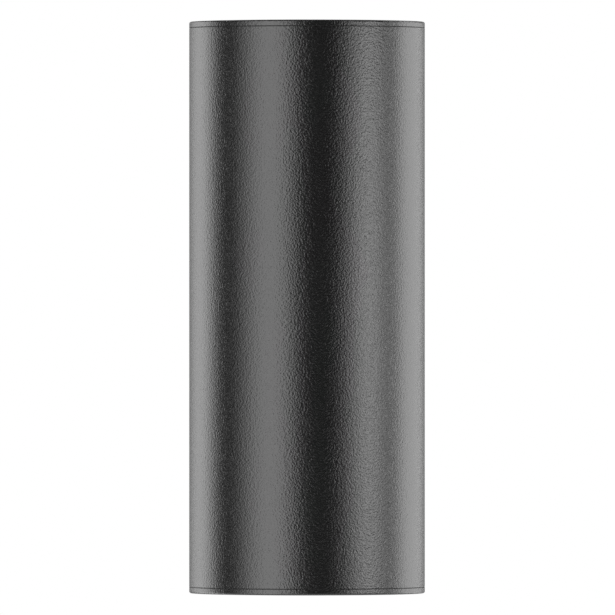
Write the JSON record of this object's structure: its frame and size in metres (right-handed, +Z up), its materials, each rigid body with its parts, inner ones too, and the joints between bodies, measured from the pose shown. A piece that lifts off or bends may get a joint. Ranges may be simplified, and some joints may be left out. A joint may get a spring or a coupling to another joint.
{
  "type": "outdoor wall light",
  "caption": "D-shaped outdoor wall light that shines up and down through glazed end covers, fixed to the wall by a hidden bracket.",
  "frame": {"origin": "centre of the four wall-screw slots, in the plane of the wall", "axes": "+Z up along the light, +Y into the wall, the front faces -Y, +X to the right as seen from the front"},
  "size_m": [0.099, 0.11, 0.24],
  "materials": {
    "powder_coat": "fine-texture powder coat, matt",
    "silicone": "matt silicone rubber",
    "stainless": "plain stainless steel",
    "clear_glass": "clear toughened glass",
    "reflector_metal": "bright anodised",
    "white_plastic": "matt white",
    "board_white": "white board with copper pads",
    "phosphor": "satin yellow silicone over the diodes",
    "pad_grey": "soft grey sheet",
    "heat_sink_metal": "plain cast aluminium",
    "driver_plastic": "fine-grained light grey",
    "lid_plastic": "fine-grained light grey",
    "galvanised": "galvanised sheet",
    "foam": "closed-cell foam",
    "terminal_grey": "light grey, satin",
    "lever_orange": "orange, satin",
    "wire_brown": "brown insulation",
    "wire_blue": "blue insulation",
    "wire_green_yellow": "green and yellow insulation",
    "wire_red": "red insulation",
    "wire_black": "black insulation",
    "tinned": "tinned copper",
    "vent_plastic": "black, fine-grained"
  },
  "bodies": {
    "fixture": {"housing": "powder_coat", "top_cover": "powder_coat", "bottom_cover": "powder_coat", "top_cover_seal": "silicone", "bottom_cover_seal": "silicone", "top_cover_screws": "stainless", "bottom_cover_screws": "stainless", "top_glass": "clear_glass", "bottom_glass": "clear_glass", "top_glass_seal": "silicone", "bottom_glass_seal": "silicone", "top_reflector": "reflector_metal", "bottom_reflector": "reflector_metal", "top_led_holder": "white_plastic", "bottom_led_holder": "white_plastic", "led_holder_screws": "stainless", "top_led_board": "board_white", "bottom_led_board": "board_white", "top_led_emitter": "phosphor", "bottom_led_emitter": "phosphor", "top_thermal_pad": "pad_grey", "bottom_thermal_pad": "pad_grey", "top_heat_sink": "heat_sink_metal", "bottom_heat_sink": "heat_sink_metal", "heat_sink_screws": "stainless", "driver_case": "driver_plastic", "driver_lid": "lid_plastic", "driver_screws": "stainless", "wall_bracket": "galvanised", "wall_seal": "foam", "side_screws": "stainless", "terminal_block": "terminal_grey", "terminal_screws": "stainless", "lever_pin": "stainless", "partition_grommet": "silicone", "live_wire": "wire_brown", "neutral_wire": "wire_blue", "earth_wire": "wire_green_yellow", "earth_lug": "tinned", "earth_screw": "stainless", "vent_plug": "vent_plastic", "vent_nut": "vent_plastic", "led_positive_wires": "wire_red", "led_negative_wires": "wire_black"},
    "live_lever_body": {"live_lever": "lever_orange"},
    "neutral_lever_body": {"neutral_lever": "lever_orange"},
    "earth_lever_body": {"earth_lever": "lever_orange"}
  },
  "joints": [
    {"name": "live_lever_hinge", "type": "hinge", "parent": "fixture", "child": "live_lever_body", "pos_m": [-0.0066, -0.0178, 0.006], "axis": [1, 0, 0], "range_deg": [0, 85]},
    {"name": "neutral_lever_hinge", "type": "hinge", "parent": "fixture", "child": "neutral_lever_body", "pos_m": [0, -0.0178, 0.006], "axis": [1, 0, 0], "range_deg": [0, 85]},
    {"name": "earth_lever_hinge", "type": "hinge", "parent": "fixture", "child": "earth_lever_body", "pos_m": [0.0066, -0.0178, 0.006], "axis": [1, 0, 0], "range_deg": [0, 85]}
  ]
}
